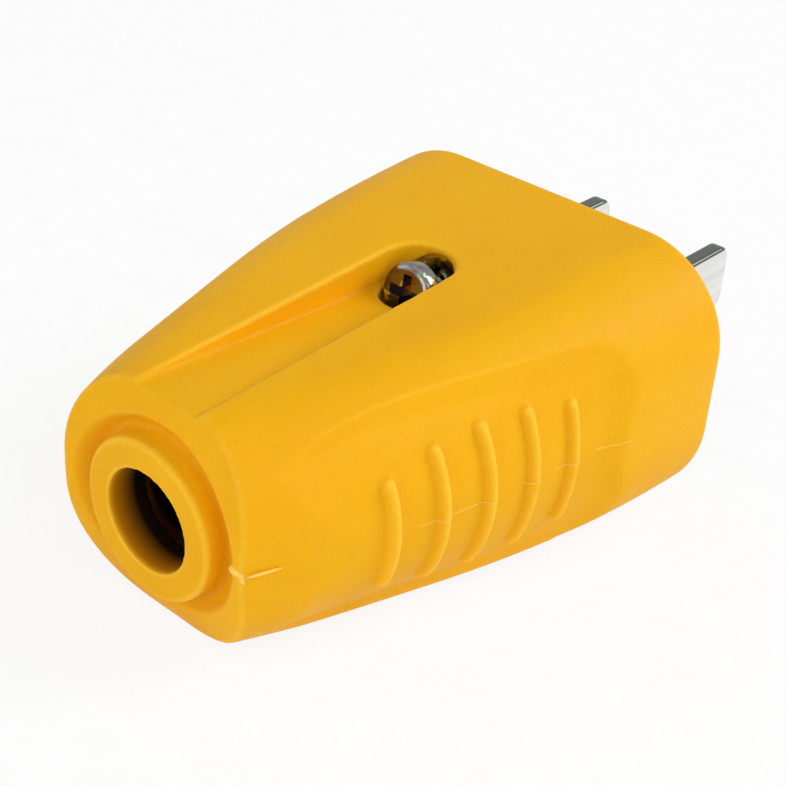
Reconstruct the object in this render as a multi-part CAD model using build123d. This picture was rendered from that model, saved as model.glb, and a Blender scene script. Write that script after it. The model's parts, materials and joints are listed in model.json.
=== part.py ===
"""Two-pole rewirable mains plug: a one-piece moulded housing, a pin carrier that slides in from
the pin end with its blades, terminals and cord clamp, and one long screw that draws it home.

Frame, in millimetres: the origin is the centre of the pin face. +Y points out along the blades,
+Z up through the side with the screwdriver channel, and +X right, seen from the cable end.
"""
import os
from math import asin, cos, degrees, radians, sin, sqrt, tan

from build123d import *

# Housing, outside
body_length = 42.9          # cable collar face to pin face
rear_width = 34.9           # at the pin face
rear_height = 22.7
rear_corner = 8.1           # corner radius of the section at the pin face
rear_round = 0.7            # rounding of the edge round the pin face
nose_width = 18.0           # at the cable end
nose_height = 17.8
nose_corner = 7.5
nose_round = 0.45
nose_bow = 23.0             # radius of the nose face, which bows from top to bottom
flare_power = 2.05          # how early the plan widens from the nose to the rear
flange_setback = 0.3        # nose face behind the collar face, at the sides
body_stations = (0.0, 0.1, 0.22, 0.36, 0.52, 0.7, 0.86, 1.0)  # its sections, from nose to pin face

# Cable collar and bore
bore_diameter = 7.7
bore_length = 3.4
collar_diameter = 12.1
collar_round = 0.4          # rounding of the collar's front rim
moat_depth = 2.0            # ring groove round the collar, behind the collar face
moat_floor = 0.55           # width of its bottom
moat_round = 0.5            # rounding on both sides of its bottom
moat_rim = 0.9              # rim left between its mouth and the side of the nose

# Thumb grips, one on each side
rib_count = 5
rib_pitch = 4.0
first_rib = 10.7            # from the collar face to the first rib
rib_height = 0.45
rib_radius = 0.55
rib_reach = 5.5             # half height of the tallest rib, to the centre of its round end
rib_fall = 13.2             # distance from the tallest place to where the rib ends would meet
rib_peak = 20.0             # tallest place, from the collar face
grip_depth = 0.8            # depth of the grip floor at the last rib, none at the first
grip_radius_front = 9.5     # roundness of the floor across, at the first rib
grip_radius_rear = 15.0     # and at the last rib
grip_flattening = 2.0       # how late the floor flattens between the two
grip_half_height = 7.1      # the edge of the floor is a full oval, seen from the side
grip_front_length = 20.0
grip_rear_length = 16.0
grip_middle = 16.5          # widest place of that oval, from the collar face
grip_oval = 2.5             # its exponent: 2 is an ellipse, more is fuller
grip_lean = 0.3             # slope of the step above the floor
grip_lead = 1.4             # the floor's sections stand this far ahead of the ribs
grip_nose_rise = 0.7        # the floor runs out of the body by this at the nose
grip_end = 10.0             # how far the floor runs on behind the last rib
grip_tail_flat = 0.1        # share of that which stays level
grip_tail_rise = 2.6        # rise of the rest

# Screwdriver channel and the carrier screw in its pocket
channel_width = 5.86
channel_nose_depth = 0.15   # depth of the floor below the top at the nose face
channel_fall = 0.045        # fall of the floor for each millimetre towards the screw
channel_end = 26.35         # centre of its round end, from the collar face
pocket_place = 26.2         # centre of the round pocket, from the collar face
pocket_diameter = 5.2
screw_drop = 2.45           # head centre below the top face
screw_tilt = 12.0           # degrees, nose end high
screw_diameter = 2.5
screw_head_diameter = 4.7
screw_head_height = 1.3
screw_backed_off = 2.1      # the screw stands this far out of its seat
screw_length = 12.5         # under the head
screw_recess_width = 0.8
screw_recess_depth = 1.0
seat_place = 29.2           # head seat, from the collar face
washer_diameter = 4.6
washer_thickness = 0.7
washer_split = 0.5
nut_size = 4.8              # square nut, across flats
nut_thickness = 2.0
nut_place = 7.0             # nut, from the seat along the screw

# Housing, inside
side_wall = 2.5
boss_wall = 1.5
carrier_depth = 11.0        # chamber of the carrier, from the pin face
wire_room_rear_width = 26.4
wire_room_nose_width = 15.6
wire_room_rear_height = 15.2
wire_room_nose_height = 14.0
wire_room_drop = 0.4        # centre of the wire room below the axis
wire_room_corner = 4.5

# Blades and terminals
blade_spacing = 12.7
blade_width = 6.3
blade_thickness = 1.5
blade_length = 18.0         # outside the pin face
blade_tip_corner = 1.4
blade_edge_round = 0.35
bend_radius = 0.4           # inside radius of the bend to the tab
tab_gap = 1.35              # end of the tab to the wall of the housing
terminal_gap = 1.65         # clamp washer to the wall of the housing
terminal_diameter = 2.9
terminal_head_diameter = 4.6
terminal_head_height = 1.8
terminal_slot_width = 0.7
terminal_slot_depth = 0.9
terminal_length = 3.6       # under the head
clamp_size = 5.4            # square clamp washer
clamp_thickness = 0.9
clamp_lip = 0.6             # turned-down sides of the clamp washer
clamp_trough = 0.3          # depth between those sides

# Pin carrier
plate_recess = 0.4          # plate below the pin face
plate_thickness = 3.8
seat_block_depth = 2.3      # terminal seats behind the plate
seat_block_height = 8.4
nut_block_width = 8.8
nut_block_floor = 2.7       # underside of the nut block above the axis
barrier_thickness = 1.6     # wall between the two terminals
barrier_depth = 9.0
tongue_width = 9.0
tongue_thickness = 1.5
tongue_drop = 6.6           # underside of the tongue below the axis
cradle_width = 15.2
cradle_length = 5.0
cradle_place = 36.0         # far end of the tongue, from the pin face
cradle_round = 3.0

# Cord clamp
clamp_bore = 6.6
clamp_drop = 1.8            # clamped cord below the axis
saddle_wall = 1.0
saddle_ear = 1.6            # thickness of the ears
saddle_screw_spacing = 11.6
saddle_screw_diameter = 1.9
saddle_head_diameter = 3.4
saddle_head_height = 1.2
saddle_screw_length = 4.6
saddle_slot_width = 0.5
saddle_slot_depth = 0.6

# Screw heads
crown_share = 0.45          # rounding of a head, as a share of its height
cross_share = 1.25          # length of a cross recess, as a share of the head's radius

# Clearances
slide_fit = 0.15            # carrier in the housing, blades and nut in the carrier
thread_fit = 0.05           # screw in its thread
hole_fit = 0.2              # screw in a plain hole
overrun = 1.0               # a cut runs this far past the face it opens
smallest_share = 0.1        # ovals and ribs shrink no further than this
steepest_sine = 0.95        # a rib turns no further round its floor than this

# Worked out from the above
nose_y = flange_setback - body_length
bore_radius = bore_diameter / 2
collar_radius = collar_diameter / 2
moat_width = nose_width / 2 - moat_rim - collar_radius
last_rib = first_rib + (rib_count - 1) * rib_pitch
body_span = -nose_y
top_slope = (rear_height - nose_height) / 2 / body_span
bore_end = bore_length - body_length


def from_collar(distance):
    """Y of a place that is measured from the collar face."""
    return distance - body_length


def half_width(y):
    """Half width of the body in plan, without the grips."""
    ahead = min(1.0, max(0.0, -y / body_span))
    return nose_width / 2 + (rear_width - nose_width) / 2 * (1 - ahead**flare_power)


def half_height(y):
    """Half height of the body, a straight taper."""
    return rear_height / 2 + y * top_slope


def corner(y):
    """Corner radius of the body's section."""
    return rear_corner + y / body_span * (rear_corner - nose_corner)


def across(y):
    """Plane across the plug at y, with its own y upwards."""
    return Plane(origin=(0, y, 0), x_dir=(1, 0, 0), z_dir=(0, -1, 0))


def block(x_range, y_range, z_range):
    """Box between pairs of coordinates."""
    size = [high - low for low, high in (x_range, y_range, z_range)]
    middle = [(high + low) / 2 for low, high in (x_range, y_range, z_range)]
    return Pos(*middle) * Box(*size)


def rod(plane, radius, start, end):
    """Cylinder along a plane's normal, between two distances from the plane."""
    return plane * Pos(0, 0, (start + end) / 2) * Cylinder(radius, abs(end - start))


# The carrier screw's own axis runs from its seat towards the pins.
pocket_y = from_collar(pocket_place)
seat_y = from_collar(seat_place)
seat_z = half_height(pocket_y) - screw_drop - tan(radians(screw_tilt)) * (seat_y - pocket_y)
screw_axis = Plane(
    origin=(0, seat_y, seat_z),
    x_dir=(1, 0, 0),
    z_dir=(0, cos(radians(screw_tilt)), -sin(radians(screw_tilt))),
)
pocket_radius = pocket_diameter / 2
head_room = max(screw_head_diameter, washer_diameter) / 2 + hole_fit
pocket_floor = seat_z - head_room / cos(radians(screw_tilt))
head_bottom = -washer_thickness - screw_backed_off


# Housing

def grip_section(y, apex, radius):
    """Section across the plug that the grips leave: round floors, and a leaning step above each."""
    ahead = from_collar(grip_middle) - y
    reach = ahead / grip_front_length if ahead > 0 else -ahead / grip_rear_length
    crease = grip_half_height * max(smallest_share, 1 - reach**grip_oval) ** (1 / grip_oval)
    edge = apex - radius + sqrt(radius**2 - crease**2)
    roof = rear_height
    top = edge - (roof - crease) * grip_lean
    right_arc = ThreePointArc((edge, crease), (apex, 0), (edge, -crease))
    left_arc = ThreePointArc((-edge, -crease), (-apex, 0), (-edge, crease))
    outline = [
        Line((top, roof), (edge, crease)),
        right_arc,
        Line((edge, -crease), (top, -roof)),
        Line((top, -roof), (-top, -roof)),
        Line((-top, -roof), (-edge, -crease)),
        left_arc,
        Line((-edge, crease), (-top, roof)),
        Line((-top, roof), (top, roof)),
    ]
    return across(y) * make_face(outline)


def grip_floor(place):
    """Half width and roundness of the grip floor at a distance from the collar face."""
    y = from_collar(place)
    run = (place - first_rib) / (last_rib - first_rib)
    radius = grip_radius_front + (grip_radius_rear - grip_radius_front) * max(0.0, run) ** grip_flattening
    depth = grip_depth * min(1.0, max(0.0, run))
    return half_width(y) - depth, radius


def make_grip_form():
    """Body that holds what is left between the two thumb grips."""
    sections = []
    for share in (0.0, 0.5):
        y = nose_y + share * (first_rib - flange_setback)
        rise = grip_nose_rise * (1 - share)
        sections.append(grip_section(y, half_width(y) + rise, grip_radius_front))
    for index in range(rib_count):
        place = first_rib - grip_lead + index * rib_pitch
        sections.append(grip_section(from_collar(place), *grip_floor(place)))
    for share in (0.0, 0.5, 1.0):
        place = last_rib + grip_end * (grip_tail_flat + share * (1 - grip_tail_flat))
        apex, radius = grip_floor(place)
        sections.append(grip_section(from_collar(place), apex + share * grip_tail_rise, radius))
    front = loft(sections)
    rear_start = from_collar(last_rib + grip_end)
    rear = block((-rear_width, rear_width), (rear_start, blade_length), (-rear_height, rear_height))
    return front + rear


def make_rib(place, side):
    """Round-ended rib that stands on the grip floor in a plane across the plug."""
    apex, radius = grip_floor(place)
    line_radius = radius + rib_height - rib_radius
    reach = rib_reach * sqrt(max(smallest_share, 1 - ((place - rib_peak) / rib_fall) ** 2))
    half_turn = degrees(asin(min(steepest_sine, reach / line_radius)))
    arc = CenterArc((side * (apex - radius), 0), line_radius, 90 - side * 90 - half_turn, 2 * half_turn)
    path = across(from_collar(place)) * arc
    tube = sweep(Plane(origin=path @ 0, z_dir=path % 0) * Circle(rib_radius), path)
    ends = [Pos(*point) * Sphere(rib_radius) for point in (path @ 0, path @ 1)]
    return tube + ends[0] + ends[1]


def make_nose_form():
    """Body that holds the bowed nose face and all behind it."""
    wide = 2 * rear_width
    bow = Pos(0, nose_y + nose_bow, 0) * Rot(0, 90, 0) * Cylinder(nose_bow, wide)
    start = nose_y + nose_bow - sqrt(nose_bow**2 - (nose_height / 2 + nose_round) ** 2)
    return bow + block((-wide, wide), (start, blade_length), (-rear_height, rear_height))


def make_body():
    """Outer form: lofted body, thumb grips and ribs, collar in its ring groove."""
    sections = []
    for share in body_stations:
        y = nose_y * (1 - share)
        outline = RectangleRounded(2 * half_width(y), 2 * half_height(y), corner(y))
        sections.append(across(y) * outline)
    body = loft(sections)
    body = fillet(body.faces().sort_by(Axis.Y)[-1].edges(), rear_round)
    body = body & make_nose_form()
    nose_face = body.faces().filter_by(GeomType.CYLINDER).sort_by(Axis.Y)[0]
    body = fillet(nose_face.edges(), nose_round)
    body = body & make_grip_form()
    places = [first_rib + index * rib_pitch for index in range(rib_count)]
    body += [make_rib(place, side) for place in places for side in (-1, 1)]
    groove_floor = from_collar(moat_depth)
    groove_front = -body_length - overrun
    wall_slope = (moat_width - moat_floor) / (groove_floor - nose_y)
    groove = make_face(
        Polyline(
            (0, groove_front),
            (0, groove_floor),
            (collar_radius + moat_floor, groove_floor),
            (collar_radius + moat_floor + wall_slope * (groove_floor - groove_front), groove_front),
            close=True,
        )
    )
    outer_corner = groove.vertices().sort_by_distance((collar_radius + moat_floor, groove_floor, 0))[0]
    groove = fillet(outer_corner, moat_round)
    return body - revolve(groove, Axis.Y) + make_collar(groove_floor)


def make_collar(groove_floor):
    """Collar round the cable bore, with a rounded foot and front rim."""
    foot = collar_radius + moat_round
    outline = make_face(
        Polyline(
            (0, groove_floor),
            (foot, groove_floor),
            (foot, groove_floor - moat_round),
            (collar_radius, groove_floor - moat_round),
            (collar_radius, -body_length),
            (0, -body_length),
            close=True,
        )
    )
    collar = revolve(outline, Axis.Y)
    hollow = Torus(foot, moat_round)
    collar -= across(groove_floor - moat_round) * hollow
    return fillet(collar.edges().sort_by(Axis.Y)[0], collar_round)


def make_channel():
    """Room for the screwdriver: sloping channel, round pocket and the flat seat of the washer."""
    above = rear_height
    start = -body_length - flange_setback
    half = channel_width / 2
    nose_floor = half_height(nose_y) - channel_nose_depth
    round_end = from_collar(channel_end)
    end = round_end + half
    end_floor = nose_floor - channel_fall * (end - start)
    side_view = Plane.YZ * make_face(
        Polyline((start, nose_floor), (end, end_floor), (end, above), (start, above), close=True)
    )
    plan = block((-half, half), (start, round_end), (0, above))
    plan += Pos(0, round_end, above / 2) * Cylinder(half, above)
    channel = extrude(side_view, half, both=True) & plan
    pocket_height = above - pocket_floor
    pocket = Pos(0, pocket_y, pocket_floor + pocket_height / 2) * Cylinder(pocket_radius, pocket_height)
    seat_bore = rod(screw_axis, head_room, 0, pocket_y - seat_y)
    return channel + pocket + seat_bore


def make_cavity():
    """Chamber of the carrier and the wire room behind it, round the boss of the screw pocket."""
    chamber_section = RectangleRounded(
        rear_width - 2 * side_wall, rear_height - 2 * side_wall, rear_corner - side_wall
    )
    chamber = extrude(across(-carrier_depth) * chamber_section, -carrier_depth)
    room_sections = []
    for y, width, height in (
        (-carrier_depth, wire_room_rear_width, wire_room_rear_height),
        (bore_end, wire_room_nose_width, wire_room_nose_height),
    ):
        outline = RectangleRounded(width, height, wire_room_corner)
        room_sections.append(across(y) * Pos(0, -wire_room_drop, 0) * outline)
    room = loft(room_sections)
    boss_side = max(pocket_radius, head_room) + boss_wall
    boss = block(
        (-boss_side, boss_side),
        (pocket_y - boss_side, -carrier_depth),
        (pocket_floor - boss_wall, rear_height),
    )
    return chamber + (room - boss)


def make_housing():
    """One-piece moulded housing."""
    housing = make_body() - make_channel() - make_cavity()
    bore = rod(across(-body_length), bore_radius, -bore_length - overrun, overrun)
    screw_hole = rod(screw_axis, screw_diameter / 2 + hole_fit, -hole_fit, screw_length)
    reach = block(
        (-pocket_radius, pocket_radius), (seat_y - overrun, -carrier_depth), (0, rear_height)
    )
    return housing - bore - (screw_hole & reach)


# Pin carrier and what it holds

plate_back = -plate_recess - plate_thickness
tab_front = plate_back - seat_block_depth
tab_back = tab_front - blade_thickness
blade_inner = (blade_spacing - blade_thickness) / 2
clamp_back = tab_back - clamp_thickness
chamber_half_width = rear_width / 2 - side_wall
chamber_half_height = rear_height / 2 - side_wall
tab_end = chamber_half_width - tab_gap
terminal_x = chamber_half_width - terminal_gap - clamp_size / 2
carrier_top = chamber_half_height - slide_fit
saddle_x = saddle_screw_spacing / 2
saddle_y = cradle_length / 2 - cradle_place
saddle_top = saddle_ear - clamp_drop
cord_axis = Plane(origin=(0, saddle_y, -clamp_drop), x_dir=(1, 0, 0), z_dir=(0, -1, 0))


def blade_profile():
    """Blade seen from above: straight out of the plate, with its tab bent outwards."""
    blade_outer = blade_inner + blade_thickness
    outline = make_face(
        Polyline(
            (blade_inner, tab_back),
            (tab_end, tab_back),
            (tab_end, tab_front),
            (blade_outer, tab_front),
            (blade_outer, blade_length),
            (blade_inner, blade_length),
            close=True,
        )
    )
    bend_outside = outline.vertices().sort_by_distance((blade_inner, tab_back, 0))[0]
    outline = fillet(bend_outside, bend_radius + blade_thickness)
    bend_inside = outline.vertices().sort_by_distance((blade_outer, tab_front, 0))[0]
    return fillet(bend_inside, bend_radius)


def make_blade(side):
    """Flat blade with rounded tip and edges, and a drilled tab for the terminal screw."""
    blade = extrude(blade_profile(), blade_width / 2, both=True)
    tip = blade.faces().sort_by(Axis.Y)[-1]
    tip_corners = tip.edges().filter_by(Axis.X)
    blade = fillet(tip_corners, blade_tip_corner)
    long_edges = blade.edges().filter_by(Axis.Y).filter_by(lambda edge: edge.length > blade_length / 2)
    blade = fillet(long_edges, blade_edge_round)
    hole = rod(across(tab_front), terminal_diameter / 2 + thread_fit, -overrun, blade_thickness + overrun)
    blade -= Pos(terminal_x, 0, 0) * hole
    return blade if side > 0 else mirror(blade, about=Plane.YZ)


def pan_head(plane, radius, height, slot_width, slot_depth, cross):
    """Domed screw head on a plane's far side, with a slot or a cross recess."""
    head = rod(plane, radius, 0, -height)
    rims = head.edges().filter_by(GeomType.CIRCLE)
    crown = rims.sort_by_distance(plane.offset(-height).origin)[0]
    head = fillet(crown, height * crown_share)
    slots = [(2 * radius, slot_width)]
    if cross:
        slots = [(cross_share * radius, slot_width), (slot_width, cross_share * radius)]
    for length, width in slots:
        head -= plane * Pos(0, 0, slot_depth / 2 - height) * Box(length, width, slot_depth)
    return head


def make_terminal_screw(side):
    """Slotted screw that clamps the wire on the tab."""
    plane = Plane(origin=(side * terminal_x, clamp_back, 0), x_dir=(1, 0, 0), z_dir=(0, 1, 0))
    head = pan_head(
        plane, terminal_head_diameter / 2, terminal_head_height,
        terminal_slot_width, terminal_slot_depth, cross=False,
    )
    return head + rod(plane, terminal_diameter / 2, 0, terminal_length)


def make_clamp_washer(side):
    """Square washer with two turned-down sides that keep the wire under the screw."""
    middle = side * terminal_x
    half = clamp_size / 2
    washer = block((middle - half, middle + half), (clamp_back, tab_back), (-half, half))
    trough = block(
        (middle - half, middle + half),
        (tab_back - clamp_trough, tab_back),
        (clamp_lip - half, half - clamp_lip),
    )
    hole = rod(across(tab_back), terminal_diameter / 2 + hole_fit, -overrun, clamp_thickness + overrun)
    return washer - trough - Pos(middle, 0, 0) * hole


def make_pin_carrier():
    """Insulating core: plate, terminal seats, barrier, nut block and the tongue of the cord clamp."""
    plate_section = RectangleRounded(
        2 * (chamber_half_width - slide_fit),
        2 * carrier_top,
        rear_corner - side_wall - slide_fit,
    )
    carrier = extrude(across(plate_back) * plate_section, -plate_thickness)
    half_seat = seat_block_height / 2
    seat_inner = blade_inner + blade_thickness + bend_radius
    for low, high in ((seat_inner, tab_end), (-tab_end, -seat_inner)):
        carrier += block((low, high), (tab_front, plate_back), (-half_seat, half_seat))
    half_nut = nut_block_width / 2
    carrier += block((-half_nut, half_nut), (-carrier_depth, plate_back), (nut_block_floor, carrier_top))
    half_barrier = barrier_thickness / 2
    carrier += block(
        (-half_barrier, half_barrier),
        (plate_back - barrier_depth, plate_back),
        (-tongue_drop, nut_block_floor),
    )
    half_tongue = tongue_width / 2
    tongue_top = tongue_thickness - tongue_drop
    carrier += block(
        (-half_tongue, half_tongue), (-cradle_place, plate_back), (-tongue_drop, tongue_top)
    )
    half_cradle = cradle_width / 2
    cradle = block(
        (-half_cradle, half_cradle),
        (-cradle_place, cradle_length - cradle_place),
        (-tongue_drop, -clamp_drop),
    )
    low_edges = cradle.faces().sort_by(Axis.Z)[0].edges().filter_by(Axis.Y)
    carrier += fillet(low_edges, cradle_round)
    return carrier - carrier_cuts()


def carrier_cuts():
    """Slots, holes and pockets of the carrier."""
    cuts = []
    for side in (-1, 1):
        middle = side * blade_spacing / 2
        half = blade_thickness / 2 + slide_fit
        tall = blade_width / 2 + slide_fit
        cuts.append(block((middle - half, middle + half), (tab_front, overrun), (-tall, tall)))
        screw_hole = rod(
            across(clamp_back), terminal_diameter / 2 + hole_fit, 0, -terminal_length - hole_fit
        )
        cuts.append(Pos(side * terminal_x, 0, 0) * screw_hole)
        saddle_hole = Plane(origin=(side * saddle_x, saddle_y, saddle_top))
        cuts.append(
            rod(saddle_hole, saddle_screw_diameter / 2 + thread_fit, 0, -saddle_screw_length - hole_fit)
        )
    cuts.append(rod(cord_axis, clamp_bore / 2, -cradle_length, cradle_length))
    tip = screw_length + head_bottom + hole_fit
    cuts.append(rod(screw_axis, screw_diameter / 2 + hole_fit, -overrun, tip))
    nut_room = nut_size / 2 + slide_fit
    thick = nut_thickness + slide_fit
    slot = Box(2 * nut_room, nut_room + rear_height, thick)
    cuts.append(screw_axis * Pos(0, (rear_height - nut_room) / 2, nut_place) * slot)
    return cuts


def make_cord_saddle():
    """Bridge that presses the cord into the cradle."""
    half = cradle_length / 2
    half_cradle = cradle_width / 2
    ears = block(
        (-half_cradle, half_cradle), (saddle_y - half, saddle_y + half), (-clamp_drop, saddle_top)
    )
    arch = rod(cord_axis, clamp_bore / 2 + saddle_wall, -half, half)
    below = block(
        (-half_cradle, half_cradle), (saddle_y - half, saddle_y + half), (-rear_height, -clamp_drop)
    )
    saddle = ears + (arch - below)
    saddle -= rod(cord_axis, clamp_bore / 2, -cradle_length, cradle_length)
    for side in (-1, 1):
        hole = Plane(origin=(side * saddle_x, saddle_y, saddle_top))
        saddle -= rod(hole, saddle_screw_diameter / 2 + hole_fit, overrun, -saddle_ear - overrun)
    return saddle


def make_saddle_screw(side):
    """Slotted screw of the cord clamp, driven down into the cradle."""
    plane = Plane(origin=(side * saddle_x, saddle_y, saddle_top), x_dir=(1, 0, 0), z_dir=(0, 0, -1))
    head = pan_head(
        plane, saddle_head_diameter / 2, saddle_head_height,
        saddle_slot_width, saddle_slot_depth, cross=False,
    )
    return head + rod(plane, saddle_screw_diameter / 2, 0, saddle_screw_length)


# Carrier screw, washer and nut

def make_carrier_screw():
    """Long cross-recess screw, backed out a little from its seat."""
    plane = screw_axis.offset(head_bottom)
    head = pan_head(
        plane, screw_head_diameter / 2, screw_head_height,
        screw_recess_width, screw_recess_depth, cross=True,
    )
    return head + rod(plane, screw_diameter / 2, 0, screw_length)


def make_screw_washer():
    """Split spring washer on the seat."""
    ring = rod(screw_axis, washer_diameter / 2, -washer_thickness, 0)
    ring -= rod(screw_axis, screw_diameter / 2 + hole_fit, -washer_thickness - overrun, overrun)
    gap = Box(washer_split, washer_diameter, 2 * washer_thickness + overrun)
    return ring - screw_axis * Pos(0, -washer_diameter / 2, 0) * gap


def make_carrier_nut():
    """Square nut that the carrier traps."""
    nut = screw_axis * Pos(0, 0, nut_place) * Box(nut_size, nut_size, nut_thickness)
    return nut - rod(screw_axis, screw_diameter / 2 + thread_fit, 0, screw_length)


pieces = {
    "housing": make_housing(),
    "pin_carrier": make_pin_carrier(),
    "carrier_screw": make_carrier_screw(),
    "screw_washer": make_screw_washer(),
    "carrier_nut": make_carrier_nut(),
    "cord_saddle": make_cord_saddle(),
}
for side, word in ((-1, "left"), (1, "right")):
    pieces[f"{word}_blade"] = make_blade(side)
    pieces[f"{word}_terminal_screw"] = make_terminal_screw(side)
    pieces[f"{word}_clamp_washer"] = make_clamp_washer(side)
    pieces[f"{word}_saddle_screw"] = make_saddle_screw(side)

os.makedirs("parts", exist_ok=True)
for name, piece in pieces.items():
    export_step(piece, f"parts/{name}.step")
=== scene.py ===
"""Looks of the rewirable mains plug: a softened moulded housing, its flash and its finishes.

All places are in the plug's own frame: the origin is the centre of the pin face, +Y points out
along the blades, +Z up through the screwdriver channel and +X right seen from the cable end.
Sizes are written in millimetres, and MM turns them into metres.
"""
import json
from math import hypot, radians, sqrt

import bpy
from mathutils import Matrix, Vector
from mathutils.noise import noise as noise_at


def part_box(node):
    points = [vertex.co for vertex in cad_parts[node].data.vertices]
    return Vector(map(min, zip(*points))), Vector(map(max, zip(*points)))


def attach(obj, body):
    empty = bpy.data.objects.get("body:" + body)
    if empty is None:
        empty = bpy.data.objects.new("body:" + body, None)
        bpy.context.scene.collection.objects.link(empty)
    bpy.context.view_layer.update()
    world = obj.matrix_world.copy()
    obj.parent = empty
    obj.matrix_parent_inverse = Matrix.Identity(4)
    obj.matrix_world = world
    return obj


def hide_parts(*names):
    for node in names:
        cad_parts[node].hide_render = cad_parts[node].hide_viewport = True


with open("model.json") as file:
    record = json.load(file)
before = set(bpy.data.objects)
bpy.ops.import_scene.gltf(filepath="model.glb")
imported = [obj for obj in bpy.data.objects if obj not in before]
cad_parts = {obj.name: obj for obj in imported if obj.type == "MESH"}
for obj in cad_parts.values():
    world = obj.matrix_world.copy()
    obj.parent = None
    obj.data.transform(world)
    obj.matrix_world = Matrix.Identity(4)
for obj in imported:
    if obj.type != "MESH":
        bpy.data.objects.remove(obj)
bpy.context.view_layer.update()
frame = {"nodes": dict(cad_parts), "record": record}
nodes = frame["nodes"]

MM = 0.001

# Colours, linear
YELLOW = (0.9, 0.465, 0.002, 1)
DEEP_YELLOW = (0.85, 0.41, 0.001, 1)
GRAIN_YELLOW = (0.8, 0.37, 0.001, 1)
# Painted highlight on edges, and painted shade in hollow corners
HIGHLIGHT_YELLOW = (0.98, 0.6, 0.05, 1)
CORNER_SHADE_YELLOW = (0.74, 0.31, 0.001, 1)
SPECK_BROWN = (0.25, 0.1, 0.01, 1)
FLASH_YELLOW = (0.96, 0.58, 0.06, 1)
PALE_FLASH = (0.95, 0.62, 0.12, 1)
# Painted shade down the cable bore: amber near the mouth, then near black
BORE_SHADE_AMBER = (0.66, 0.25, 0.003, 1)
BORE_SHADE_BLACK = (0.012, 0.005, 0.002, 1)
BLACK = (0.012, 0.011, 0.01, 1)
GREY_BLACK = (0.03, 0.028, 0.026, 1)
NICKEL = (0.84, 0.84, 0.81, 1)
DULL_NICKEL = (0.72, 0.72, 0.68, 1)
CUT_EDGE = (0.085, 0.095, 0.08, 1)
ZINC = (0.2, 0.19, 0.18, 1)
# Painted glints on the zinc
GLINT_ZINC = (0.85, 0.84, 0.8, 1)
PASSIVE_GREEN = (0.15, 0.22, 0.12, 1)
PASSIVE_ROSE = (0.17, 0.11, 0.12, 1)
BRASS = (0.78, 0.56, 0.24, 1)
OLD_BRASS = (0.55, 0.36, 0.14, 1)
WHITE = (1, 1, 1, 1)
PALE_FLOOR = (0.9, 0.9, 0.89, 1)

# Housing shell: its facets, and the passes of smoothing in each zone
merge_distance = 0.001 * MM
shell_voxel = 0.15 * MM
shell_share = 0.23           # faces kept where they are finer than the form needs
smoothing_factor = 0.5       # strength of each pass
all_over_smoothing = 1
grip_smoothing = 12
grip_tail_smoothing = 80
dish_smoothing = 40
lip_smoothing = 6
channel_smoothing = 24

# Zones of the shell, in millimetres, front at the cable end and rear at the pins
grip_inner = 8.5             # all of the grips lies further from the middle plane
grip_front = -41.0
grip_rear = -2.0
ribs_front = -33.2
ribs_rear = -14.8
ribs_half_height = 6.4
tail_front = -14.6           # where the grips run out towards the pin face
tail_rear = -2.5
dish_rear = -39.8
dish_inner_radius = 6.35
dish_outer_radius = 8.7
lip_rear = -42.2
lip_radius = 4.5
channel_half_width = 4.6
channel_rear = -11.0
channel_edge_depth = 1.0

# The body's top face, in millimetres, falls from the pin face to the cable end.
top_at_pins = 11.35
top_fall = 0.0575            # for each millimetre of length

# Ribs of the thumb grips, in millimetres, shorter on both sides of the peak
first_rib = -32.2
rib_pitch = 4.0
rib_count = 5
rib_half_width = 0.55
rib_reach = 5.5              # half the length that a rib has at the peak
rib_peak = -22.9
rib_fall = 13.2              # a rib this far from the peak would have no length
rib_crown = 0.14 * MM        # the mould leaves the ribs a little fuller than plain arcs

# Bends of the shell: how far a point stands out of its smoothed surroundings, in millimetres
# The bends set a painted highlight on edges and painted shade in hollow corners
bend_smoothing = 30
bend_start = 0.02
bend_full = 0.09
bend_share = 0.6             # most of the painted highlight on edges and of the painted shade in hollow corners that is mixed in

# Flash along the parting line of the mould, with places along and across the grips in millimetres
parting_height = 0.25 * MM
flash_radius = 0.045 * MM
flash_start = -32.0
flash_end = -10.5
flash_inside = 11.9          # only the wall of the room inside lies nearer the middle, at the start
flash_widening = 0.13        # and this much further out for each millimetre towards the pins
flash_patch = 3.0            # length of its stretches and gaps
flash_gaps = -0.1            # noise below this leaves a gap

# Flash at the edge of the nose: start, end and width of each bead, in millimetres
nose_blob = ((7.75, -42.5, 0.45), (9.05, -42.4, 0.35), 0.65)
nose_thread = ((9.25, -42.55, 0.35), (10.15, -40.0, 0.4), 0.24)
nose_tag = ((8.8, -42.5, 0.5), (9.0, -42.4, -0.4), 0.35)
nose_flash_voxel = 0.04 * MM
nose_flash_smoothing = 3

# Cable bore in the collar, and the wire room behind it
cable_bore = next(mount for mount in frame["record"]["mounts"] if mount["name"] == "cable_bore")
collar_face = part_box("housing")[0].y
bore_radius = cable_bore["dims"]["r_mm"] * MM
bore_margin = 0.1 * MM       # so that the bore's own wall counts as inside
room_start = collar_face + cable_bore["dims"]["length_mm"] * MM
bore_end = room_start - 0.4 * MM
room_end = collar_face + 12 * MM
room_radius = 7.6 * MM
# Painted shade down the cable bore starts here and is full here
bore_shade_start = collar_face + 0.1 * MM
bore_shade_full = collar_face + 2.4 * MM

# Blades, both alike
blade_half_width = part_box("left_blade")[1].z
cut_edge_depth = 0.36 * MM
cut_edge_blur = 0.1 * MM

# Floor, which lies along the sloping underside
floor_size = 3000 * MM
floor_slope = radians(-3.29)
floor_height = -11.36 * MM
floor_glow = 0.86            # share of the floor's own white, the rest shows the shadow

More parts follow.
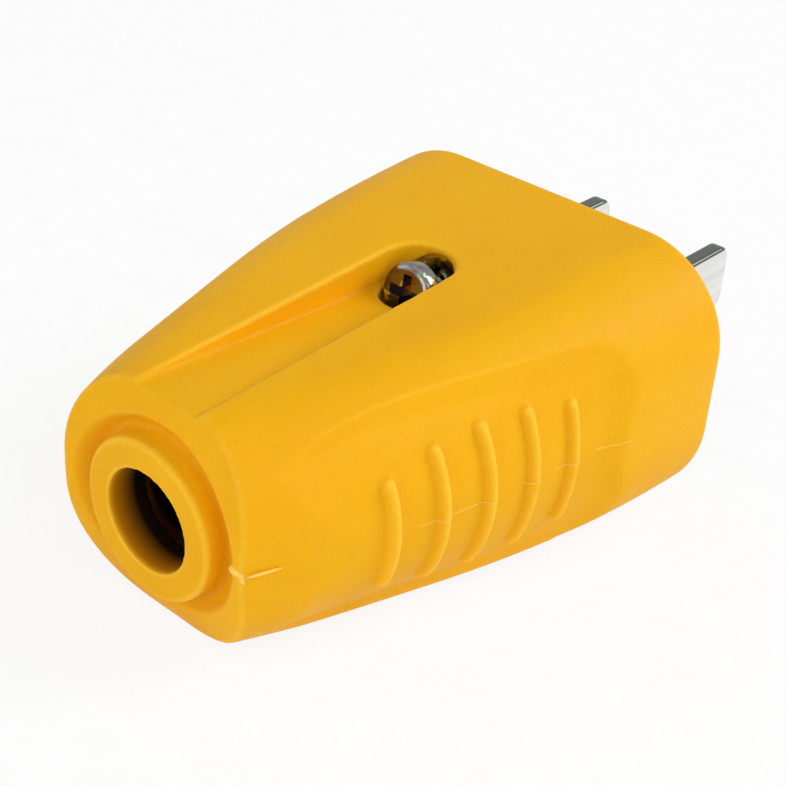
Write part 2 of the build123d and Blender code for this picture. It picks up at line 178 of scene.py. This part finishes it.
# Camera, its sensor and lens in millimetres
camera_place = Vector((66.95, -98.11, 64.36)) * MM
camera_right = Vector((0.7407, 0.6691, 0.0598))
camera_up = Vector((-0.3917, 0.3578, 0.8477))
camera_sensor = 36.0
camera_lens = 73.28
camera_near = 1 * MM
camera_far = 10000 * MM

# Light: place and size of each soft box in millimetres, and its power in watts
world_light = 0.33
light_aim = Vector((0, -18, 0)) * MM
soft_boxes = {
    "right_rear_box": ((330, 380, 330), 280, 2.1),
    "right_box": ((400, -168, 260), 260, 0.5),
    "front_box": ((0, -480, 150), 300, 0.7),
    "top_box": ((-60, -120, 520), 420, 0.25),
    "left_box": ((-420, -260, 220), 300, 0.3),
}


# Small helpers

def deselect_all():
    """Leaves nothing selected, so that an operator acts only on what is chosen next."""
    if bpy.context.object and bpy.context.object.mode != "OBJECT":
        bpy.ops.object.mode_set(mode="OBJECT")
    bpy.ops.object.select_all(action="DESELECT")


def choose(piece):
    """Makes a piece the only selected object."""
    deselect_all()
    piece.select_set(True)
    bpy.context.view_layer.objects.active = piece


def add_copy(source, name):
    """New piece, chosen, with its own copy of another object's mesh."""
    piece = bpy.data.objects.new(name, source.data.copy())
    bpy.context.scene.collection.objects.link(piece)
    choose(piece)
    return piece


def merge_points(piece):
    """Joins the loose triangles of a piece where their corners meet."""
    choose(piece)
    bpy.ops.object.mode_set(mode="EDIT")
    bpy.ops.mesh.select_all(action="SELECT")
    bpy.ops.mesh.remove_doubles(threshold=merge_distance)
    bpy.ops.object.mode_set(mode="OBJECT")


def apply_modifier(piece, kind, **settings):
    """Adds a modifier with these settings and applies it."""
    choose(piece)
    modifier = piece.modifiers.new(kind.lower(), kind)
    for name, value in settings.items():
        setattr(modifier, name, value)
    bpy.ops.object.modifier_apply(modifier=modifier.name)


def smooth(piece, passes, **settings):
    """Smooths a piece, or only the group of points that the settings name."""
    apply_modifier(piece, "SMOOTH", factor=smoothing_factor, iterations=passes, **settings)


def finish_with(piece, material):
    """Gives a piece its material and fixes it to the plug."""
    piece.data.materials.clear()
    piece.data.materials.append(material)
    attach(piece, "root")


# Nodes of a material

def start_material(name):
    """New node material, with its shader and the piece's own coordinates."""
    material = bpy.data.materials.new(name)
    material.use_nodes = True
    tree = material.node_tree
    shader = tree.nodes["Principled BSDF"]
    place = tree.nodes.new("ShaderNodeTexCoord").outputs["Object"]
    return material, tree, shader, place


def add_node(tree, kind, values=None, **settings):
    """Node with input values by socket name and settings by attribute."""
    node = tree.nodes.new(kind)
    for name, value in settings.items():
        setattr(node, name, value)
    for name, value in (values or {}).items():
        node.inputs[name].default_value = value
    return node


def noise(tree, place, scale, detail, stretch=None):
    """Noise on the piece's coordinates, finer along each axis by its stretch."""
    if stretch:
        mapping = add_node(tree, "ShaderNodeMapping", {"Scale": stretch})
        tree.links.new(place, mapping.inputs["Vector"])
        place = mapping.outputs["Vector"]
    texture = add_node(tree, "ShaderNodeTexNoise", {"Scale": scale, "Detail": detail})
    tree.links.new(place, texture.inputs["Vector"])
    return texture.outputs["Fac"]


def ramp(tree, value, *stops):
    """Colour ramp through (position, colour) stops."""
    node = tree.nodes.new("ShaderNodeValToRGB")
    elements = node.color_ramp.elements
    while len(elements) < len(stops):
        elements.new(0.5)
    for element, (position, colour) in zip(elements, stops):
        element.position = position
        element.color = colour
    tree.links.new(value, node.inputs["Fac"])
    return node.outputs["Color"]


def span(tree, value, to, over=(0.0, 1.0)):
    """Value turned from one range to another, and held at its ends."""
    values = {"From Min": over[0], "From Max": over[1], "To Min": to[0], "To Max": to[1]}
    node = add_node(tree, "ShaderNodeMapRange", values)
    tree.links.new(value, node.inputs["Value"])
    return node.outputs["Result"]


def mix(tree, share, first, second):
    """Mixes two colours, each a socket or a colour, by a share."""
    node = add_node(tree, "ShaderNodeMix", data_type="RGBA")
    tree.links.new(share, node.inputs["Factor"])
    for name, colour in (("A", first), ("B", second)):
        socket = next(s for s in node.inputs if s.name == name and s.type == "RGBA")
        if isinstance(colour, tuple):
            socket.default_value = colour
        else:
            tree.links.new(colour, socket)
    return next(s for s in node.outputs if s.type == "RGBA")


def bump(tree, shader, *layers):
    """Bump from (height socket, depth, strength) layers, one on the other."""
    normal = None
    for height, depth, strength in layers:
        node = add_node(tree, "ShaderNodeBump", {"Distance": depth, "Strength": strength})
        tree.links.new(height, node.inputs["Height"])
        if normal:
            tree.links.new(normal, node.inputs["Normal"])
        normal = node.outputs["Normal"]
    tree.links.new(normal, shader.inputs["Normal"])


def set_values(shader, **values):
    """Constant values on the shader's own sockets."""
    for name, value in values.items():
        shader.inputs[name.replace("_", " ")].default_value = value


def axes_of(tree, place):
    """The separate X, Y and Z of a place."""
    node = tree.nodes.new("ShaderNodeSeparateXYZ")
    tree.links.new(place, node.inputs["Vector"])
    return node.outputs


def calculate(tree, operation, first, second=None):
    """Result of an operation on sockets or numbers."""
    node = add_node(tree, "ShaderNodeMath", operation=operation)
    for socket, value in zip(node.inputs, (first, second)):
        if isinstance(value, (int, float)):
            socket.default_value = value
        elif value:
            tree.links.new(value, socket)
    return node.outputs["Value"]


def inside_bore(tree, place):
    """Depth on the wall of the cable bore and in the room behind it, from none at the mouth to one,
    which sets the painted shade there.
    """
    axes = axes_of(tree, place)
    across = calculate(tree, "SQRT", calculate(
        tree, "ADD",
        calculate(tree, "MULTIPLY", axes["X"], axes["X"]),
        calculate(tree, "MULTIPLY", axes["Z"], axes["Z"]),
    ))
    radii = (bore_radius + bore_margin, room_radius)
    reach = span(tree, axes["Y"], to=radii, over=(bore_end, room_start))
    on_wall = calculate(tree, "LESS_THAN", across, reach)
    ahead_of_pocket = calculate(tree, "LESS_THAN", axes["Y"], room_end)
    depth = span(tree, axes["Y"], to=(0.0, 1.0), over=(bore_shade_start, bore_shade_full))
    return calculate(tree, "MULTIPLY", calculate(tree, "MULTIPLY", on_wall, ahead_of_pocket), depth)


def seen_directly(tree):
    """One for what the camera, a reflection or a clear piece sees, none for what only lights."""
    path = tree.nodes.new("ShaderNodeLightPath")
    seen = path.outputs["Is Camera Ray"]
    for kind in ("Is Glossy Ray", "Is Transmission Ray"):
        seen = calculate(tree, "MAXIMUM", seen, path.outputs[kind])
    return seen


# Materials

def make_moulded_yellow():
    """Half matt moulded plastic: fine grain, flow marks and specks, with a painted highlight on the
    edges, painted shade in the hollow corners and painted shade down the cable bore.
    """
    material, tree, shader, place = start_material("moulded_yellow")
    flow = noise(tree, place, scale=160, detail=3.0, stretch=(1.0, 0.45, 1.0))
    mottle = noise(tree, place, scale=900, detail=2.0)
    grain = noise(tree, place, scale=4200, detail=2.0)
    colour = ramp(tree, flow, (0.3, DEEP_YELLOW), (0.62, YELLOW))
    colour = mix(tree, span(tree, mottle, to=(0.0, 0.35), over=(0.45, 0.75)), colour, YELLOW)
    colour = mix(tree, span(tree, grain, to=(0.0, 0.5), over=(0.3, 0.75)), colour, GRAIN_YELLOW)
    specks = add_node(tree, "ShaderNodeTexVoronoi", {"Scale": 120.0})
    tree.links.new(place, specks.inputs["Vector"])
    speck = span(tree, specks.outputs["Distance"], to=(0.7, 0.0), over=(0.01, 0.022))
    colour = mix(tree, speck, colour, SPECK_BROWN)
    bend = add_node(tree, "ShaderNodeAttribute", attribute_name="bend").outputs["Fac"]
    # Painted highlight where the shell stands out, on its edges
    edge = span(tree, bend, to=(0.0, bend_share), over=(bend_start, bend_full))
    colour = mix(tree, edge, colour, HIGHLIGHT_YELLOW)
    # Painted shade where the shell sinks in, in its hollow corners
    corner_shade = span(tree, bend, to=(bend_share, 0.0), over=(-bend_full, -bend_start))
    colour = mix(tree, corner_shade, colour, CORNER_SHADE_YELLOW)
    # Painted shade inside the cable bore: the wall turns amber, then near black, with depth
    in_bore = inside_bore(tree, place)
    colour = mix(tree, span(tree, in_bore, to=(0.0, 1.0), over=(0.0, 0.2)), colour, BORE_SHADE_AMBER)
    colour = mix(tree, span(tree, in_bore, to=(0.0, 1.0), over=(0.15, 1.0)), colour, BORE_SHADE_BLACK)
    tree.links.new(colour, shader.inputs["Base Color"])
    tree.links.new(span(tree, mottle, to=(0.5, 0.6), over=(0.3, 0.7)), shader.inputs["Roughness"])
    bump(tree, shader, (flow, 0.05 * MM, 0.25), (grain, 0.02 * MM, 0.5))
    set_values(shader, IOR=1.5, Specular_IOR_Level=0.14)
    set_values(shader, Subsurface_Weight=0.2, Subsurface_Scale=1 * MM)
    set_values(shader, Subsurface_Radius=(1.0, 0.35, 0.03))
    return material


def make_thin_flash():
    """Thin squeezed-out flash of the same plastic, paler where the light passes through it."""
    material, tree, shader, place = start_material("thin_flash")
    thickness = noise(tree, place, scale=1500, detail=3.0)
    colour = ramp(tree, thickness, (0.35, FLASH_YELLOW), (0.6, PALE_FLASH))
    tree.links.new(colour, shader.inputs["Base Color"])
    tree.links.new(span(tree, thickness, to=(0.4, 0.55)), shader.inputs["Roughness"])
    bump(tree, shader, (thickness, 0.1 * MM, 0.4))
    set_values(shader, IOR=1.5, Specular_IOR_Level=0.2)
    return material


def make_black_thermoset():
    """Matt black moulded core, with a fine dusty grain."""
    material, tree, shader, place = start_material("black_thermoset")
    dust = noise(tree, place, scale=700, detail=4.0)
    grain = noise(tree, place, scale=5000, detail=2.0)
    colour = ramp(tree, dust, (0.35, BLACK), (0.75, GREY_BLACK))
    tree.links.new(colour, shader.inputs["Base Color"])
    tree.links.new(span(tree, dust, to=(0.42, 0.62)), shader.inputs["Roughness"])
    bump(tree, shader, (grain, 0.015 * MM, 0.4))
    return material


def make_nickel_plate():
    """Bright plated flanks with lengthwise rolling marks, and darker cut edges."""
    material, tree, shader, place = start_material("nickel_plate")
    rolling = noise(tree, place, scale=500, detail=4.0, stretch=(3.0, 0.12, 3.0))
    stain = noise(tree, place, scale=220, detail=3.0)
    plate = ramp(tree, rolling, (0.3, DULL_NICKEL), (0.65, NICKEL))
    plate = mix(tree, span(tree, stain, to=(0.0, 0.5), over=(0.5, 0.8)), plate, DULL_NICKEL)
    from_middle = calculate(tree, "ABSOLUTE", axes_of(tree, place)["Z"])
    edge_start = blade_half_width - cut_edge_depth
    edge = span(tree, from_middle, to=(0.0, 1.0), over=(edge_start, edge_start + cut_edge_blur))
    tree.links.new(mix(tree, edge, plate, CUT_EDGE), shader.inputs["Base Color"])
    tree.links.new(span(tree, rolling, to=(0.16, 0.3)), shader.inputs["Roughness"])
    bump(tree, shader, (rolling, 0.01 * MM, 0.3))
    set_values(shader, Metallic=1.0)
    return material


def make_passivated_zinc():
    """Zinc plated steel with the rose to green tint of its passivation, and painted glints in patches.
    """
    material, tree, shader, place = start_material("passivated_zinc")
    tint = noise(tree, place, scale=800, detail=3.0)
    scratch = noise(tree, place, scale=3000, detail=3.0)
    # The brightest stop paints glints in patches
    colour = ramp(
        tree, tint,
        (0.38, PASSIVE_ROSE), (0.5, ZINC), (0.58, PASSIVE_GREEN), (0.62, ZINC), (0.66, GLINT_ZINC),
    )
    tree.links.new(colour, shader.inputs["Base Color"])
    tree.links.new(span(tree, scratch, to=(0.1, 0.26)), shader.inputs["Roughness"])
    bump(tree, shader, (tint, 0.1 * MM, 0.4), (scratch, 0.02 * MM, 0.3))
    set_values(shader, Metallic=1.0)
    return material


def make_plain_brass():
    """Turned brass, tarnished in patches."""
    material, tree, shader, place = start_material("plain_brass")
    tarnish = noise(tree, place, scale=600, detail=4.0)
    turning = noise(tree, place, scale=2500, detail=2.0)
    colour = ramp(tree, tarnish, (0.35, OLD_BRASS), (0.6, BRASS))
    tree.links.new(colour, shader.inputs["Base Color"])
    tree.links.new(span(tree, turning, to=(0.2, 0.34)), shader.inputs["Roughness"])
    bump(tree, shader, (turning, 0.01 * MM, 0.25))
    set_values(shader, Metallic=1.0)
    return material


def make_pale_paper():
    """Floor: pale paper that the camera and reflections see nearly white, with the plug's shadow."""
    material, tree, shader, place = start_material("pale_paper")
    fibre = noise(tree, place, scale=300, detail=3.0)
    colour = ramp(tree, fibre, (0.3, PALE_FLOOR), (0.7, WHITE))
    tree.links.new(colour, shader.inputs["Base Color"])
    set_values(shader, Roughness=0.9, Specular_IOR_Level=0.1)
    glow = add_node(tree, "ShaderNodeEmission", {"Color": WHITE, "Strength": 1.0})
    blend = tree.nodes.new("ShaderNodeMixShader")
    tree.links.new(span(tree, seen_directly(tree), to=(0.0, floor_glow)), blend.inputs["Fac"])
    tree.links.new(shader.outputs["BSDF"], blend.inputs[1])
    tree.links.new(glow.outputs["Emission"], blend.inputs[2])
    tree.links.new(blend.outputs["Shader"], tree.nodes["Material Output"].inputs["Surface"])
    return material


# Zones of the shell: each takes a place in millimetres

def rib_share(place):
    """One on the crown of a rib, none beside it or past its ends."""
    index = round((place.y - first_rib) / rib_pitch)
    if not 0 <= index < rib_count or abs(place.x) < grip_inner:
        return 0.0
    rib = first_rib + index * rib_pitch
    reach = rib_reach * sqrt(1 - ((rib - rib_peak) / rib_fall) ** 2)
    beside = hypot(place.y - rib, max(0.0, abs(place.z) - reach))
    return max(0.0, 1 - beside / rib_half_width)


def anywhere(place):
    """The whole shell."""
    return True


def beside_ribs(place):
    """Outside of the thumb grips, without their ribs."""
    outside = abs(place.x) > grip_inner and grip_front < place.y < grip_rear
    past_ends = place.y > ribs_rear or place.y < ribs_front
    return outside and (past_ends or abs(place.z) > ribs_half_height)


def behind_ribs(place):
    """Where the thumb grips run out towards the pin face."""
    return abs(place.x) > grip_inner and tail_front < place.y < tail_rear


def round_collar(place):
    """Ring groove round the cable collar, up to the edge of the nose."""
    return place.y < dish_rear and dish_inner_radius < hypot(place.x, place.z) < dish_outer_radius


def round_bore_lip(place):
    """Lip of the cable bore."""
    return place.y < lip_rear and hypot(place.x, place.z) < lip_radius


def along_channel(place):
    """Top edges of the screwdriver channel and its pocket."""
    below_top = top_at_pins + top_fall * place.y - channel_edge_depth
    return abs(place.x) < channel_half_width and place.y < channel_rear and place.z > below_top


def on_flash(place):
    """Where the parting line shows on the outside of the grips."""
    outside = abs(place.x) > flash_inside + flash_widening * (place.y - flash_start)
    between = flash_start < place.y < flash_end
    unbroken = noise_at(Vector((place.x, place.y, 0)) / flash_patch) > flash_gaps
    return outside and between and unbroken


# Pieces

def raise_ribs(piece):
    """Fills out the crowns of the ribs."""
    group = piece.vertex_groups.new(name="ribs")
    for vertex in piece.data.vertices:
        share = rib_share(vertex.co / MM)
        if share:
            group.add([vertex.index], share, "REPLACE")
    apply_modifier(piece, "DISPLACE", strength=rib_crown, mid_level=0.0, vertex_group="ribs")
    piece.vertex_groups.clear()


def soften(piece, inside, passes):
    """Smooths the zone of a piece whose points pass the test."""
    group = piece.vertex_groups.new(name="zone")
    group.add([v.index for v in piece.data.vertices if inside(v.co / MM)], 1.0, "REPLACE")
    smooth(piece, passes, vertex_group="zone")
    piece.vertex_groups.clear()


def mark_bends(piece):
    """Notes on each point how far it stands out of its surroundings, below none in a hollow corner."""
    surroundings = add_copy(piece, "surroundings")
    smooth(surroundings, bend_smoothing)
    pairs = zip(piece.data.vertices, surroundings.data.vertices)
    stand = [(point.co - around.co).dot(point.normal) / MM for point, around in pairs]
    piece.data.attributes.new("bend", "FLOAT", "POINT").data.foreach_set("value", stand)
    bpy.data.objects.remove(surroundings)


def make_housing_shell(material):
    """The moulded housing with the soft edges that a mould leaves."""
    shell = add_copy(nodes["housing"], "housing_shell")
    merge_points(shell)
    apply_modifier(shell, "REMESH", mode="VOXEL", voxel_size=shell_voxel, use_smooth_shade=True)
    soften(shell, anywhere, all_over_smoothing)
    raise_ribs(shell)
    soften(shell, beside_ribs, grip_smoothing)
    soften(shell, behind_ribs, grip_tail_smoothing)
    soften(shell, round_collar, dish_smoothing)
    soften(shell, round_bore_lip, lip_smoothing)
    soften(shell, along_channel, channel_smoothing)
    mark_bends(shell)
    apply_modifier(shell, "DECIMATE", ratio=shell_share)
    bpy.ops.object.shade_smooth()
    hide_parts("housing")
    finish_with(shell, material)
    return shell


def make_parting_flash(shell, material):
    """Thin broken bead of flash on the grips, where the two halves of the mould met."""
    flash = add_copy(shell, "parting_flash")
    bpy.ops.object.mode_set(mode="EDIT")
    bpy.ops.mesh.select_all(action="SELECT")
    bpy.ops.mesh.bisect(
        plane_co=(0, 0, parting_height), plane_no=(0, 0, 1), clear_inner=True, clear_outer=True
    )
    bpy.ops.mesh.select_all(action="DESELECT")
    bpy.ops.object.mode_set(mode="OBJECT")
    for vertex in flash.data.vertices:
        vertex.select = not on_flash(vertex.co / MM)
    bpy.ops.object.mode_set(mode="EDIT")
    bpy.ops.mesh.delete(type="VERT")
    bpy.ops.object.mode_set(mode="OBJECT")
    bpy.ops.object.convert(target="CURVE")
    flash = bpy.context.object
    flash.data.bevel_depth = flash_radius
    flash.data.bevel_resolution = 1
    flash.data.use_fill_caps = True
    bpy.ops.object.convert(target="MESH")
    flash = bpy.context.object
    bpy.ops.object.shade_smooth()
    finish_with(flash, material)


def add_bead(start, end, width):
    """Rounded bead of plastic between two places, in millimetres."""
    along = Vector(end) - Vector(start)
    bpy.ops.mesh.primitive_uv_sphere_add(
        segments=20,
        ring_count=12,
        radius=MM,
        location=(Vector(start) + along / 2) * MM,
        rotation=along.to_track_quat("X", "Z").to_euler(),
        scale=(along.length / 2, width / 2, width / 2),
    )
    bpy.ops.object.transform_apply()
    return bpy.context.object


def make_nose_flash(material):
    """Flash squeezed out where the parting line crosses the edge of the nose, with a thin thread."""
    deselect_all()
    flash, thread, tag = [add_bead(*bead) for bead in (nose_blob, nose_thread, nose_tag)]
    choose(flash)
    for bead in (thread, tag):
        bead.select_set(True)
    bpy.ops.object.join()
    flash.name = "nose_flash"
    apply_modifier(flash, "REMESH", mode="VOXEL", voxel_size=nose_flash_voxel)
    smooth(flash, nose_flash_smoothing)
    bpy.ops.object.shade_smooth()
    finish_with(flash, material)


# Stage, camera and light

def make_floor(material):
    """Pale floor under the flat underside, which tapers towards the cable end."""
    bpy.ops.mesh.primitive_plane_add(size=floor_size)
    floor = bpy.context.object
    floor.name = "floor"
    floor.data.transform(Matrix.Rotation(floor_slope, 4, "X"))
    floor.data.transform(Matrix.Translation((0, 0, floor_height)))
    floor.data.materials.append(material)


def make_camera():
    """Camera at the photograph's angle: right-hand front of the cable end, from above."""
    data = bpy.data.cameras.new("camera")
    data.sensor_width = camera_sensor
    data.lens = camera_lens
    data.clip_start = camera_near
    data.clip_end = camera_far
    camera = bpy.data.objects.new("camera", data)
    camera_back = camera_right.cross(camera_up)
    turn = Matrix((camera_right, camera_up, camera_back)).transposed().to_4x4()
    camera.matrix_world = Matrix.Translation(camera_place) @ turn
    bpy.context.scene.collection.objects.link(camera)
    bpy.context.scene.camera = camera


def add_softbox(name, place, size, power):
    """Square area lamp that faces the plug."""
    data = bpy.data.lights.new(name, "AREA")
    data.size = size * MM
    data.energy = power
    lamp = bpy.data.objects.new(name, data)
    lamp.location = Vector(place) * MM
    lamp.rotation_euler = (light_aim - lamp.location).to_track_quat("-Z", "Y").to_euler()
    bpy.context.scene.collection.objects.link(lamp)


def make_light():
    """Even studio light: a pale world, with soft boxes all round and above."""
    world = bpy.data.worlds.new("studio")
    bpy.context.scene.world = world
    world.use_nodes = True
    tree = world.node_tree
    background = tree.nodes["Background"]
    background.inputs["Color"].default_value = WHITE
    strength = span(tree, seen_directly(tree), to=(world_light, 1.0))
    tree.links.new(strength, background.inputs["Strength"])
    for name, (place, size, power) in soft_boxes.items():
        add_softbox(name, place, size, power)


# The plug

housing_shell = make_housing_shell(make_moulded_yellow())
thin_flash = make_thin_flash()
make_parting_flash(housing_shell, thin_flash)
make_nose_flash(thin_flash)

finishes = {
    "black_thermoset": make_black_thermoset(),
    "nickel_plate": make_nickel_plate(),
    "passivated_zinc": make_passivated_zinc(),
    "plain_brass": make_plain_brass(),
}
finish_of = {
    "pin_carrier": "black_thermoset",
    "cord_saddle": "black_thermoset",
    "left_blade": "nickel_plate",
    "right_blade": "nickel_plate",
    "carrier_screw": "passivated_zinc",
    "screw_washer": "passivated_zinc",
    "carrier_nut": "passivated_zinc",
    "left_saddle_screw": "passivated_zinc",
    "right_saddle_screw": "passivated_zinc",
    "left_terminal_screw": "plain_brass",
    "right_terminal_screw": "plain_brass",
    "left_clamp_washer": "plain_brass",
    "right_clamp_washer": "plain_brass",
}
for name, finish in finish_of.items():
    nodes[name].data.materials.clear()
    nodes[name].data.materials.append(finishes[finish])

# The stage round it

make_floor(make_pale_paper())
make_camera()
make_light()
bpy.context.scene.view_settings.view_transform = "Standard"
